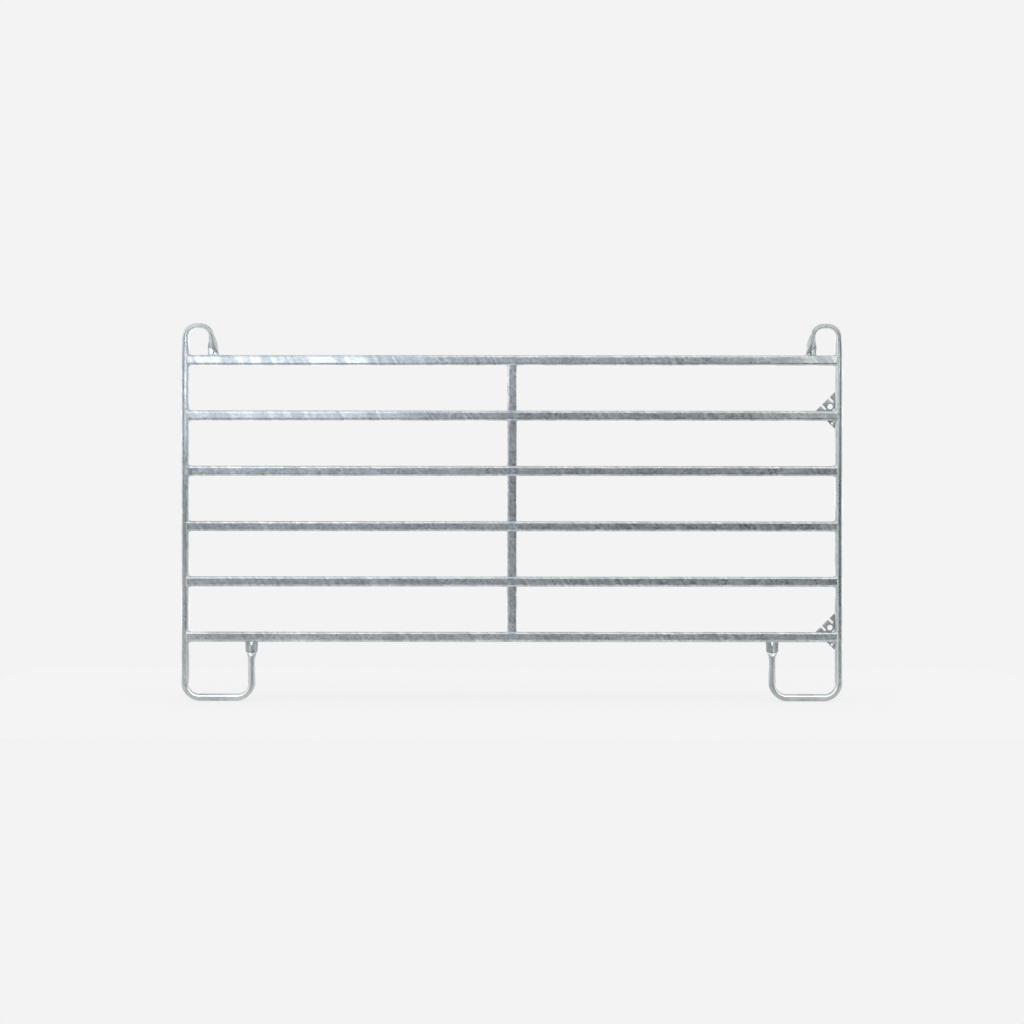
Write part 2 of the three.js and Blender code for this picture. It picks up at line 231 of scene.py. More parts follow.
seen = add_node(sky, "ShaderNodeLightPath").outputs["Is Camera Ray"]
both = add_node(sky, "ShaderNodeMixShader", {0: seen, 1: room_light.outputs[0], 2: backdrop.outputs[0]})
add_node(sky, "ShaderNodeOutputWorld", {"Surface": both.outputs[0]})

# %% [markdown]
# Three soft lamps stand close in front. One on the left gives the upper left of the panel its bluish sheen,
# a weaker one on the right lifts that end, and a wide faint one between them lights the top rail. They are
# near enough for their light to fall off from the top rail downwards, as in the photograph. All three are
# hidden from the camera and from matt surfaces, so the floor stays even.

# %% Soft lamps
def soft_lamp(name, place, aim, size, colour, power):
    data = bpy.data.lights.new(name, "AREA")
    data.shape = "RECTANGLE"
    data.size, data.size_y = size
    data.color = linear(colour)[:3]
    data.energy = power
    lamp = add_object(name, data)
    lamp.location = place
    lamp.rotation_euler = (Vector(aim) - Vector(place)).to_track_quat("-Z", "Y").to_euler()
    lamp.visible_camera = False
    lamp.visible_diffuse = False


soft_lamp("front_left_lamp", (-1.35, -1.6, 1.60), (-1.2, 0, 1.5), (1.5, 0.3), "#EAF0FF", 4.6)
soft_lamp("front_right_lamp", (1.95, -2.0, 1.74), (1.4, 0, 1.5), (0.9, 0.4), "#FAFCF8", 3.0)
soft_lamp("front_top_lamp", (-0.2, -2.2, 1.95), (-0.2, 0, 1.5), (2.6, 0.3), "#F2F6FF", 2.5)

# %% [markdown]
# ## Floor
# A plain pale sheet, just wide enough to lie under the panel and show in its lower rails. Beyond it the
# backdrop goes on in the same tone, so no edge shows.

# %% Floor
FLOOR_SIDE = 2.6
FLOOR_FRONT = -1.8
FLOOR_BACK = 2.2

floor_corners = [(-FLOOR_SIDE, FLOOR_FRONT, 0), (FLOOR_SIDE, FLOOR_FRONT, 0),
                 (FLOOR_SIDE, FLOOR_BACK, 0), (-FLOOR_SIDE, FLOOR_BACK, 0)]
floor_mesh = bpy.data.meshes.new("floor")
floor_mesh.from_pydata(floor_corners, [], [(0, 1, 2, 3)])
floor = add_object("floor", floor_mesh)

paper = bpy.data.materials.new("matt_paper")
paper.use_nodes = True
paper.node_tree.nodes.clear()
sheet = add_node(paper.node_tree, "ShaderNodeBsdfPrincipled", {
    "Base Color": linear("#808080"), "Roughness": 0.95, "Specular IOR Level": 0.0,
    "Emission Color": linear("#FFFFFF"), "Emission Strength": 0.68,
})
add_node(paper.node_tree, "ShaderNodeOutputMaterial", {"Surface": sheet.outputs[0]})
floor_mesh.materials.append(paper)

# %% [markdown]
# ## The zinc skin
# Hot-dip galvanised steel comes out of a bath of molten zinc at about 450 degrees. The zinc runs off at a
# slant, because the frame is lifted by one corner, and freezes into crystals, the spangle. So its grey is
# built up from real sizes: clouds as wide as a hand, slanting run marks, streaks along the tube, crystals of
# about 9 mm, and specks of a few millimetres. Zinc is a metal, so the grey is a reflection: some layers also
# change how sharp the reflection is, or tilt the surface a little with a bump. The end tubes also get a
# painted highlight, a light line along them which follows the bends, and beside it a broad band of painted
# shade that is slightly darker.

# %% Sizes and weights of the layers
CLOUD_SIZE = 170
RUN_SLANT = (0.84, 0.2, 0.5)
RUN_SWAY = 16
RUN_SWAY_SIZE = 60
RUN_SIZE = 110
FINE_RUN_SIZE = 19
FINE_RUN_PATCH_SIZE = 210
STREAK_SIZE = 9
MOTTLE_SIZE = 18
SPECK_SIZE = 5
SPLASH_SIZE = 34
WAVE_SIZE = 28

CLOUD_TONE = 0.55
FINE_RUN_TONE = 1.7
MOTTLE_TONE = 0.55
CRYSTAL_TONE = 0.20
SPECK_TONE = 0.45
SPLASH_TONE = 0.30
WORN_TONE = 0.22

SPECK_DULLNESS = 0.16
CRYSTAL_DULLNESS = 0.10
RUN_DULLNESS = -0.06
SPECK_HEIGHT = 0.05
CRYSTAL_HEIGHT = 0.03

# Each painted stripe's centre, outer half width and inner half width, in degrees round the wall, and its
# weight. The first stripe is a painted highlight, the second a band of painted shade.
HIGHLIGHT_AND_SHADE_STRIPES = ((70, 13, 4, 0.65), (114, 30, 12, -0.12))

# %% A material for each kind of galvanised steel
def galvanised(name, dark, middle, light, stretch, run_marks, spangle, rough, wave_height, drawn_lines,
               lines=0.35, grain=1.0, bent=False):
    """Zinc over steel. The colours are the skin's darkest, usual and lightest grey, and the stretch draws
    the streaks out along the tube. A bent tube brings the places its wall had before it was bent, so that
    its streaks and its stripes of painted highlight and painted shade follow the bends."""
    material = bpy.data.materials.new(name)
    material.use_nodes = True
    tree = material.node_tree
    tree.nodes.clear()
    place = add_node(tree, "ShaderNodeTexCoord").outputs["Object"]

    def noise(vector, size, detail=2.0, roughness=0.5, distortion=0.0):
        return add_node(tree, "ShaderNodeTexNoise", {
            "Vector": vector, "Scale": 1000 / size, "Detail": detail, "Roughness": roughness,
            "Distortion": distortion,
        }).outputs["Fac"]

    def across_slant(size, least, most):
        pattern = add_node(tree, "ShaderNodeTexNoise", {
            "W": slant, "Scale": 1000 / size, "Detail": 2.0, "Roughness": 0.6,
        }, noise_dimensions="1D").outputs["Fac"]
        return fade(tree, pattern, least, most)

    def painted_light_stripe(centre, outer, inner):
        """A stripe of painted light along the tube: the mask for a painted highlight line and for a band of
        painted shade. Its centre is counted over the front from the inside of the bends, and it fades from
        its inner to its outer half width."""
        centre, outer, inner = (math.radians(angle) for angle in (centre, outer, inner))
        reach = dot(tree, unbent, Vector((math.cos(centre), -math.sin(centre), 0)))
        return fade(tree, reach, TUBE_RADIUS * MM * math.cos(outer), TUBE_RADIUS * MM * math.cos(inner))

    def layer(sum_so_far, pattern, weight):
        """Adds a pattern to a sum, so that the pattern's middle value changes nothing."""
        centred = calculate(tree, "MULTIPLY_ADD", pattern, weight, -weight / 2)
        return calculate(tree, "ADD", sum_so_far, centred)

    def bump(height, depth, under=None, strength=1.0):
        sockets = {"Strength": strength, "Distance": depth * MM, "Height": height}
        if under is not None:
            sockets["Normal"] = under
        return add_node(tree, "ShaderNodeBump", sockets).outputs["Normal"]

    clouds = noise(place, CLOUD_SIZE, detail=3.0)

    sway = noise(place, RUN_SWAY_SIZE, detail=1.0)
    slant = calculate(tree, "MULTIPLY_ADD", sway, RUN_SWAY * MM, dot(tree, place, RUN_SLANT))
    runs = across_slant(RUN_SIZE, 0.49, 0.53)
    fine_runs = across_slant(FINE_RUN_SIZE, 0.34, 0.66)
    where_fine = fade(tree, noise(place, FINE_RUN_PATCH_SIZE, detail=1.0), 0.42, 0.58)
    fine_runs = add_node(tree, "ShaderNodeMix", {0: where_fine, 2: 0.5, 3: fine_runs}).outputs[0]

    unbent = place
    if bent:
        unbent = add_node(tree, "ShaderNodeAttribute", attribute_name="unbent").outputs["Vector"]
    stretched = add_node(tree, "ShaderNodeMapping", {"Vector": unbent, "Scale": stretch}).outputs["Vector"]
    streaks = noise(stretched, STREAK_SIZE, detail=2.0)

    crystals = add_node(tree, "ShaderNodeTexVoronoi", {
        "Vector": place, "Scale": 1000 / spangle,
    }).outputs["Color"]
    crystals = add_node(tree, "ShaderNodeSeparateColor", {"Color": crystals}).outputs["Red"]
    mottle = noise(place, MOTTLE_SIZE, detail=2.0, roughness=0.6)
    specks = noise(place, SPECK_SIZE, detail=3.0, roughness=0.7)
    splash = fade(tree, noise(place, SPLASH_SIZE, detail=4.0, roughness=0.7, distortion=0.6), 0.63, 0.72)
    worn = add_node(tree, "ShaderNodeAttribute", attribute_name="edge").outputs["Fac"]

    tone = layer(0.5, clouds, CLOUD_TONE)
    tone = layer(tone, runs, run_marks)
    tone = layer(tone, fine_runs, FINE_RUN_TONE * run_marks)
    tone = layer(tone, streaks, lines)
    tone = layer(tone, mottle, MOTTLE_TONE * grain)
    tone = layer(tone, crystals, CRYSTAL_TONE * grain)
    tone = layer(tone, specks, SPECK_TONE * grain)
    # Painted highlight and painted shade: a light line and a darker band along the end tubes, put into the
    # zinc's colour.
    for centre, outer, inner, weight in HIGHLIGHT_AND_SHADE_STRIPES if bent else ():
        tone = calculate(tree, "MULTIPLY_ADD", painted_light_stripe(centre, outer, inner), weight, tone)
    tone = calculate(tree, "MULTIPLY_ADD", splash, SPLASH_TONE, tone)
    tone = calculate(tree, "MULTIPLY_ADD", worn, WORN_TONE, tone, use_clamp=True)

    ramp = add_node(tree, "ShaderNodeValToRGB", {"Fac": tone})
    ramp.color_ramp.elements[0].color = linear(dark)
    ramp.color_ramp.elements[1].color = linear(light)
    ramp.color_ramp.elements.new(0.5).color = linear(middle)

    dullness = layer(rough, specks, SPECK_DULLNESS)
    dullness = layer(dullness, crystals, CRYSTAL_DULLNESS)
    dullness = layer(dullness, runs, RUN_DULLNESS)

    skin = bump(noise(place, WAVE_SIZE, detail=1.0), wave_height)
    skin = bump(streaks, drawn_lines, skin)
    skin = bump(specks, SPECK_HEIGHT, skin)
    skin = bump(crystals, CRYSTAL_HEIGHT, skin, strength=0.6)

    zinc = add_node(tree, "ShaderNodeBsdfPrincipled", {
        "Base Color": ramp.outputs["Color"], "Metallic": 1.0, "Roughness": dullness, "Normal": skin,
    })
    add_node(tree, "ShaderNodeOutputMaterial", {"Surface": zinc.outputs[0]})
    return material


SKINS = {
    "galvanised_square_tube": galvanised(
        "galvanised_square_tube", "#949A9C", "#C2C7C9", "#E8EAEB", stretch=(0.06, 1, 1),
        run_marks=0.15, spangle=9, rough=0.34, wave_height=0.20, drawn_lines=0.02),
    "galvanised_round_tube": galvanised(
        "galvanised_round_tube", "#9AA0A2", "#C4C9CB", "#E8EAEB", stretch=(1, 1, 0.02),
        run_marks=0.10, spangle=8, rough=0.34, wave_height=0.08, drawn_lines=0.05,
        lines=0.9, grain=0.6, bent=True),
    "galvanised_plate": galvanised(
        "galvanised_plate", "#868C8E", "#ACB1B3", "#D2D6D7", stretch=(1, 1, 1),
        run_marks=0.10, spangle=7, rough=0.45, wave_height=0.10, drawn_lines=0.0),
    "galvanised_weld": galvanised(
        "galvanised_weld", "#A0A5A7", "#C8CCCE", "#EAECED", stretch=(1, 1, 1),
        run_marks=0.05, spangle=6, rough=0.40, wave_height=0.20, drawn_lines=0.0),
}
print("skins:", ", ".join(SKINS))

# %% [markdown]
# ## Worn edges
# Zinc is rubbed bright where a surface turns outwards sharply. The next cell measures that on a finished
# mesh, as the angle between neighbouring faces over the distance between them, in radians to the millimetre,
# and keeps it on each point as an attribute that the material reads.

# %% Functions that finish a piece
LEAST_SPAN = 0.4
WORN_FROM = 0.12
WORN_RANGE = 0.5


def mark_worn_edges(mesh):
    bm = bmesh.new()
    bm.from_mesh(mesh)
    bm.normal_update()
    worn = []
    for point in bm.verts:
        turns = [edge.calc_face_angle_signed(0) / max(edge_span(edge), LEAST_SPAN * MM)
                 for edge in point.link_edges]
        sharpest = max(turns, default=0) * MM
        worn.append(min(max((sharpest - WORN_FROM) / WORN_RANGE, 0), 1))
    bm.free()
    attribute = mesh.attributes.new("edge", "FLOAT", "POINT")
    attribute.data.foreach_set("value", worn)


def edge_span(edge):
    """How far apart the middles of an edge's two faces are."""
    faces = edge.link_faces
    if len(faces) < 2:
        return 0
    return (faces[0].calc_center_median() - faces[1].calc_center_median()).length


def finish_piece(name, mesh, slot, *nodes, sharp_angle=28):
    mesh.name = name
    mesh.shade_smooth()
    mesh.set_sharp_from_angle(angle=math.radians(sharp_angle))
    mark_worn_edges(mesh)
    if not mesh.materials:
        mesh.materials.append(SKINS[slot])
    piece = add_object(name, mesh)
    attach(piece, "root")
    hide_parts(*nodes)


# %% [markdown]
# ## Geometry Nodes that make what follows a path
# A rail is one outline swept along a line, and a weld bead is one blob drawn along a joint. Geometry Nodes do
# both. A tree is run on a scratch object, its result is kept as a plain mesh, and the scratch object goes.

# %% Functions that build and run a tree
def new_tree(name, **sockets):
    tree = bpy.data.node_groups.new(name, "GeometryNodeTree")
    tree.interface.new_socket("Geometry", in_out="INPUT", socket_type="NodeSocketGeometry")
    tree.interface.new_socket("Geometry", in_out="OUTPUT", socket_type="NodeSocketGeometry")
    for label, kind in sockets.items():
        tree.interface.new_socket(label, in_out="INPUT", socket_type="NodeSocket" + kind)
    return tree, add_node(tree, "NodeGroupInput").outputs


def hand_out(tree, geometry, material):
    """Ends a tree: what it has made gets its material and is handed out."""
    skinned = add_node(tree, "GeometryNodeSetMaterial", {"Geometry": geometry, "Material": material})
    real = add_node(tree, "GeometryNodeRealizeInstances", {"Geometry": skinned.outputs["Geometry"]})
    add_node(tree, "NodeGroupOutput", {0: real.outputs["Geometry"]})


def plain_mesh(thing):
    """A new mesh of an object as its modifiers and settings leave it."""
    graph = bpy.context.evaluated_depsgraph_get()
    return bpy.data.meshes.new_from_object(thing.evaluated_get(graph), depsgraph=graph)


def run_tree(tree, source=None, wall=0, **values):
    scratch = add_object("scratch", source or bpy.data.meshes.new("scratch"))
    modifier = scratch.modifiers.new("tree", "NODES")
    modifier.node_group = tree
    for socket in tree.interface.items_tree:
        if socket.in_out == "INPUT" and socket.name in values:
            modifier[socket.identifier] = values[socket.name]
    if wall:
        shell = scratch.modifiers.new("wall", "SOLIDIFY")
        shell.thickness = wall * MM
        shell.offset = -1
        shell.use_even_offset = True
    mesh = plain_mesh(scratch)
    bpy.data.objects.remove(scratch)
    return mesh


def outward(mesh):
    """Turns a closed mesh the right way out, and says how much metal is in it."""
    bm = bmesh.new()
    bm.from_mesh(mesh)
    volume = bm.calc_volume(signed=True)
    if volume < 0:
        bmesh.ops.reverse_faces(bm, faces=bm.faces)
        bm.to_mesh(mesh)
    open_edges = sum(1 for edge in bm.edges if len(edge.link_faces) != 2)
    bm.free()
    return volume * 1e6, open_edges


# %% [markdown]
# ## Square tube
# Rails and uprights are the same 45 mm square tube with rounded corners. Where a tube meets another, its end
# is cut hollow to fit: a rail fits round a post, an upright fits over a rail's rounded edges. Both cuts are
# one rule. At a depth from the middle of the tube, the other piece reaches this far from its own axis: its
# flat, plus a quarter circle. For the round post the flat is nothing and the circle is the whole post.

# %% The tree for square tube
PATH_STEP = 40
CORNER_POINTS = 16
OUTLINE_STEP = 2.5
END_REACH = 0.5


def square_tube_tree():
    tree, given = new_tree(
        "square_tube", Length="Float", Side="Float", Corner="Float", Step="Float",
        Met_Flat="Float", Met_Corner="Float", Least_Reach="Float", Met_Place="Float", Material="Material")
    half = calculate(tree, "MULTIPLY", given["Length"], 0.5)
    back = calculate(tree, "MULTIPLY", given["Length"], -0.5)
    line = add_node(tree, "GeometryNodeCurvePrimitiveLine", {
        "Start": add_node(tree, "ShaderNodeCombineXYZ", {"X": back}).outputs[0],
        "End": add_node(tree, "ShaderNodeCombineXYZ", {"X": half}).outputs[0],
    })
    path = add_node(tree, "GeometryNodeResampleCurve", {
        "Curve": line.outputs["Curve"], "Length": PATH_STEP * MM,
    }, mode="LENGTH")
    square = add_node(tree, "GeometryNodeCurvePrimitiveQuadrilateral", {
        "Width": given["Side"], "Height": given["Side"],
    }, mode="RECTANGLE")
    rounded = add_node(tree, "GeometryNodeFilletCurve", {
        "Curve": square.outputs["Curve"], "Radius": given["Corner"], "Count": CORNER_POINTS,
    }, mode="POLY")
    outline = add_node(tree, "GeometryNodeResampleCurve", {
        "Curve": rounded.outputs["Curve"], "Length": given["Step"],
    }, mode="LENGTH")
    swept = add_node(tree, "GeometryNodeCurveToMesh", {
        "Curve": path.outputs["Curve"], "Profile Curve": outline.outputs["Curve"], "Fill Caps": False,
    })

    place = add_node(tree, "ShaderNodeSeparateXYZ", {
        "Vector": add_node(tree, "GeometryNodeInputPosition").outputs[0],
    })
    depth = calculate(tree, "ABSOLUTE", place.outputs["Y"])
    past_flat = calculate(tree, "SUBTRACT", depth, given["Met_Flat"])
    past_flat = calculate(tree, "MAXIMUM", past_flat, 0.0)
    squared = calculate(tree, "POWER", past_flat, 2.0)
    corner_squared = calculate(tree, "POWER", given["Met_Corner"], 2.0)
    rest = calculate(tree, "SUBTRACT", corner_squared, squared)
    rest = calculate(tree, "MAXIMUM", rest, 0.0)
    rise = calculate(tree, "SQRT", rest)
    reach = calculate(tree, "ADD", given["Met_Flat"], rise)
    reach = calculate(tree, "MAXIMUM", reach, given["Least_Reach"])
    depth_cut = calculate(tree, "SUBTRACT", given["Met_Place"], reach)
    side = calculate(tree, "SIGN", place.outputs["X"])
    end = calculate(tree, "MULTIPLY", depth_cut, side)
    distance_out = calculate(tree, "ABSOLUTE", place.outputs["X"])
    at_end = calculate(tree, "SUBTRACT", half, END_REACH * MM)
    at_end = calculate(tree, "GREATER_THAN", distance_out, at_end)
    coped = add_node(tree, "GeometryNodeSetPosition", {
        "Geometry": swept.outputs["Mesh"], "Selection": at_end,
        "Position": add_node(tree, "ShaderNodeCombineXYZ", {
            "X": end, "Y": place.outputs["Y"], "Z": place.outputs["Z"],
        }).outputs[0],
    })
    hand_out(tree, coped.outputs["Geometry"], given["Material"])
    return tree


TUBE_TREE = square_tube_tree()


def square_tube(length, met_flat, met_corner, least_reach, met_place):
    return run_tree(
        TUBE_TREE, wall=RAIL_WALL, Length=length * MM, Side=RAIL_SIDE * MM, Corner=RAIL_CORNER * MM,
        Step=OUTLINE_STEP * MM, Met_Flat=met_flat * MM, Met_Corner=met_corner * MM,
        Least_Reach=least_reach * MM, Met_Place=met_place * MM, Material=SKINS["galvanised_square_tube"])


# %% Six rails
post_surface = TUBE_RADIUS + SEAT_GAP
rail_reach = TUBE_RADIUS - RAIL_LAP
for number in range(1, RAIL_COUNT + 1):
    mesh = square_tube(2 * (POST_X - rail_reach), 0, post_surface, rail_reach, POST_X)
    metal, gaps = outward(mesh)
    mesh.transform(moved(0, rail_height(number)))
    finish_piece(f"galvanised_rail_{number}", mesh, "galvanised_square_tube", f"rail_{number}")
print(f"a rail holds {metal:.0f} cm3 of steel, open edges {gaps}, {len(mesh.polygons)} faces")

# %% Five uprights
upright_length = RAIL_PITCH - 2 * RAIL_FLAT
for number in range(1, RAIL_COUNT):
    mesh = square_tube(upright_length, RAIL_FLAT, RAIL_CORNER + SEAT_GAP, 0, RAIL_PITCH / 2)
    metal, gaps = outward(mesh)
    mesh.transform(moved(0, rail_height(number + 0.5)) @ Matrix.Rotation(-math.pi / 2, 4, "Y"))
    finish_piece(f"galvanised_upright_{number}", mesh, "galvanised_square_tube", f"upright_{number}")
print(f"an upright holds {metal:.0f} cm3 of steel, open edges {gaps}, {len(mesh.polygons)} faces")

# %% [markdown]
# ## The end tubes
# Each end of the panel is one round tube that was fed through a bender: up to a carrying handle, down as the
# post, and round a skid foot. Each bend squeezes the tube, and both tips are pressed flat between two jaws,
# notched, and welded to a rail. A plain sweep can't change its section like that, so the tube is a loft: a
# list of stations along its middle line, and at each a loop of points round the wall.
#
# The wall can't stretch much, so its length round the section stays the same. A squeezed section is two half
# circles joined by two flats, and what the tube loses one way it gains the other way.

# %% The section of a squeezed tube
TUBE_SIDES = 64
TUBE_ANGLES = [(i + 0.5) * 2 * math.pi / TUBE_SIDES for i in range(TUBE_SIDES)]


def squeezed_point(radius, squeeze, angle, edge_draw):
    """A point of the wall, as (across, depth), with the angle counted from the inside of the bend. A positive
    squeeze presses the tube front to back, a negative one in the plane of the bend. The edge draw moves the
    front and back edges towards the inside of the bend."""
    bend_radius = radius - abs(squeeze)
    flat = math.pi * abs(squeeze) / 2
    arc = math.pi * bend_radius / 2
    turned = angle % math.pi
    walked = min(turned, math.pi - turned) * radius
    if squeeze >= 0:
        on_arc = min(walked / arc, 1) * math.pi / 2
        across = flat - max(walked - arc, 0) + bend_radius * math.cos(on_arc)
        depth = bend_radius * math.sin(on_arc)
    else:
        on_arc = max(walked - flat, 0) / arc * math.pi / 2
        across = bend_radius * math.cos(on_arc)
        depth = min(walked, flat) + bend_radius * math.sin(on_arc)
    across *= 1 if math.cos(angle) > 0 else -1
    depth *= 1 if math.sin(angle) > 0 else -1
    return across + edge_draw * math.sin(angle) ** 2, depth


for squeeze in (0, 10, -8.5):
    wall = [squeezed_point(TUBE_RADIUS, squeeze, angle, 0) for angle in TUBE_ANGLES]
    wide, deep = (2 * max(reaches) for reaches in zip(*wall))
    print(f"squeezed by {squeeze} mm: {wide:.1f} mm by {deep:.1f} mm")

# %% [markdown]
# The middle line is written as the bender's own programme, feeds and bends in turn, so the loft's stations
# come out in order with the length of tube fed so far. Bends and pressed parts get a station every few
# millimetres, straight runs only one now and then, which is what the steps say.

# %% Feeding and bending
HANDLE_WIDTH = 127
HANDLE_LEAN = math.radians(5.5)
HANDLE_BEND = 52
HANDLE_SQUEEZE = 8.5
HANDLE_EDGE_DRAW = 4
HANDLE_RELAX = 95
HANDLE_TIP = 42
HANDLE_TIP_RAMP = 48
HANDLE_JAW_OUTER = 4
HANDLE_CREASE_OUTER = 20
HANDLE_TIP_SQUEEZE = 10
FOOT_WIDTH = 299
FOOT_BEND = 66
FOOT_SQUEEZE = 5
SKID_SQUEEZE = 2.5
FOOT_TIP = 42
FOOT_TIP_RAMP = 75
PRESSED_HALF_GAP = 0.2
FOOT_TIP_SQUEEZE = TUBE_RADIUS - TUBE_WALL - PRESSED_HALF_GAP
TIP_OVERRUN = 5
NOTCH_WIDTH = 14
NOTCH_END = 5
NOTCH_DEPTH = 17
GROUND_GAP = 0.01
BEND_STEP = 3
RELAX_STEP = 5
POST_STEP = 40
SKID_STEP = 12
LEG_STEP = 8
RAMP_STEP = 2.5
TIP_STEP = 7


class Bender:
    """Feeds and bends a tube, and keeps the stations of its middle line."""

    def __init__(self, x, z, heading, fed):
        self.x, self.z, self.heading, self.fed = x, z, heading, fed
        self.stations = [(x, z, heading, fed)]

    def mark(self, length):
        self.fed += length
        self.stations.append((self.x, self.z, self.heading, self.fed))

    def feed(self, length, step):
        count = max(round(length / step), 1)
        for _ in range(count):
            self.x += math.cos(self.heading) * length / count
            self.z += math.sin(self.heading) * length / count
            self.mark(length / count)

    def bend(self, radius, angle, step):
        """A turn to the right."""
        count = round(radius * angle / step)
        middle_x = self.x + radius * math.sin(self.heading)
        middle_z = self.z - radius * math.cos(self.heading)
        for _ in range(count):
            self.heading -= angle / count
            self.x = middle_x - radius * math.sin(self.heading)
            self.z = middle_z + radius * math.cos(self.heading)
            self.mark(radius * angle / count)


QUARTER = math.pi / 2
handle_seat = TOP_RAIL + RAIL_HALF + SEAT_GAP
foot_seat = BOTTOM_RAIL - RAIL_HALF - SEAT_GAP
handle_top = PANEL_HEIGHT - (TUBE_RADIUS - HANDLE_SQUEEZE)
handle_rise = handle_top - handle_seat
lean_sin, lean_cos = math.sin(HANDLE_LEAN), math.cos(HANDLE_LEAN)
handle_leg = (handle_rise - HANDLE_BEND * (1 - lean_sin)) / lean_cos
handle_flat = HANDLE_WIDTH - HANDLE_BEND * (1 + lean_cos) - handle_leg * lean_sin
foot_bend_height = TUBE_RADIUS - SKID_SQUEEZE + FOOT_BEND + GROUND_GAP

bender = Bender(-HANDLE_WIDTH - TIP_OVERRUN * lean_sin, handle_seat - TIP_OVERRUN * lean_cos,
                QUARTER - HANDLE_LEAN, -TIP_OVERRUN)
bender.feed(TIP_OVERRUN + handle_leg, BEND_STEP)
bender.bend(HANDLE_BEND, QUARTER - HANDLE_LEAN, BEND_STEP)
bender.feed(handle_flat, BEND_STEP)
handle_apex = bender.fed
bender.bend(HANDLE_BEND, QUARTER, BEND_STEP)
handle_end = bender.fed
bender.feed(HANDLE_RELAX, RELAX_STEP)
bender.feed(handle_top - HANDLE_BEND - HANDLE_RELAX - foot_bend_height, POST_STEP)
first_bend = bender.fed
bender.bend(FOOT_BEND, QUARTER, BEND_STEP)
bender.feed(FOOT_WIDTH - 2 * FOOT_BEND, SKID_STEP)
second_bend = bender.fed
bender.bend(FOOT_BEND, QUARTER, BEND_STEP)
bender.feed(foot_seat - foot_bend_height - FOOT_TIP_RAMP - FOOT_TIP, LEG_STEP)
bender.feed(FOOT_TIP_RAMP, RAMP_STEP)
bender.feed(FOOT_TIP, TIP_STEP)
print(f"an end tube is {bender.fed:.0f} mm long, {len(bender.stations)} stations")

# %% [markdown]
# The next cell says how much each station is squeezed. The handle's squeeze fades out down the post, each
# foot bend has its own, and the jaws press the tips with a sharp crease at their edge. On the handle the tube
# widens evenly towards its tip, but the jaws flatten its front and back further up on the inside of the bend
# than on the outside, so the crease slants. A small dent on the inside of each foot bend, where it starts, is
# the mark of the bender's former.

# %% Squeezes along the tube
DENT_DEPTH = 1.4
DENT_REACH = 6
DENT_INSET = 2
FOOT_CREASE = 6


def clamp(value):
    return min(max(value, 0.0), 1.0)


def smooth(value):
    return clamp(value) ** 2 * (3 - 2 * clamp(value))


def pressing(from_jaws, ramp, sharpness):
    return (1 - clamp(from_jaws / ramp)) ** sharpness


def station_shape(at):
    foot_arc = QUARTER * FOOT_BEND
    in_handle = 1 - smooth((at - handle_apex) / (handle_end + HANDLE_RELAX - handle_apex))
    in_foot = smooth((at - first_bend) / foot_arc)
    in_bend = sum(math.sin(math.pi * clamp((at - start) / foot_arc)) for start in (first_bend, second_bend))
    squeeze = -(HANDLE_SQUEEZE * in_handle + SKID_SQUEEZE * in_foot + (FOOT_SQUEEZE - SKID_SQUEEZE) * in_bend)
    foot_pressed = pressing(bender.fed - at - FOOT_TIP, FOOT_TIP_RAMP, FOOT_CREASE)
    squeeze += (FOOT_TIP_SQUEEZE - squeeze) * foot_pressed
    dent_places = (first_bend + DENT_INSET, second_bend + foot_arc - DENT_INSET)
    dent = sum(math.exp(-(((at - dent_place) / DENT_REACH) ** 2)) for dent_place in dent_places)
    return squeeze, HANDLE_EDGE_DRAW * in_handle, DENT_DEPTH * dent


def wall_loops(radius):
    loops = []
    for x, z, heading, at in bender.stations:
        bent_squeeze, edge_draw, dent = station_shape(at)
        loop = []
        for angle in TUBE_ANGLES:
            inner_share = (1 + math.cos(angle)) / 2
            jaw = HANDLE_JAW_OUTER + (HANDLE_TIP - HANDLE_JAW_OUTER) * inner_share
            crease = HANDLE_CREASE_OUTER + (HANDLE_TIP + HANDLE_TIP_RAMP - HANDLE_CREASE_OUTER) * inner_share
            widened = pressing(at - HANDLE_TIP, HANDLE_TIP_RAMP, 1)
            flattened = pressing(at - jaw, crease - jaw, 1)
            squeeze = bent_squeeze + (HANDLE_TIP_SQUEEZE - bent_squeeze) * widened
            across, _ = squeezed_point(radius, squeeze, angle, edge_draw * (1 - widened))
            squeeze = bent_squeeze + (HANDLE_TIP_SQUEEZE - bent_squeeze) * flattened
            _, depth = squeezed_point(radius, squeeze, angle, 0)
            across -= dent * max(across / radius, 0) ** 4
            loop.append((x + across * math.sin(heading), depth, z - across * math.cos(heading)))
        loops.append(loop)
    return loops


def end_tube_mesh(turned):
    loops = wall_loops(TUBE_RADIUS) + wall_loops(TUBE_RADIUS - TUBE_WALL)[::-1]
    bm = bmesh.new()
    rings = [[bm.verts.new(Vector(point) * MM) for point in loop] for loop in loops]
    for j, ring in enumerate(rings):
        following = rings[(j + 1) % len(rings)]
        for i, corner in enumerate(ring):
            k = (i + 1) % TUBE_SIDES
            bm.faces.new((corner, ring[k], following[k], following[i]))
    mesh = bpy.data.meshes.new("end_tube")
    bm.to_mesh(mesh)
    bm.free()
    unbent = mesh.attributes.new("unbent", "FLOAT_VECTOR", "CORNER")
    lengths = [fed for x, z, heading, fed in bender.stations]
    front = -1 if turned else 1
    places = [(TUBE_RADIUS * math.cos(angle), TUBE_RADIUS * math.sin(angle) * front, fed * front)
              for fed in lengths + lengths[::-1] for angle in TUBE_ANGLES]
    for corner, loop in zip(unbent.data, mesh.loops):
        corner.vector = Vector(places[loop.vertex_index]) * MM
    return mesh


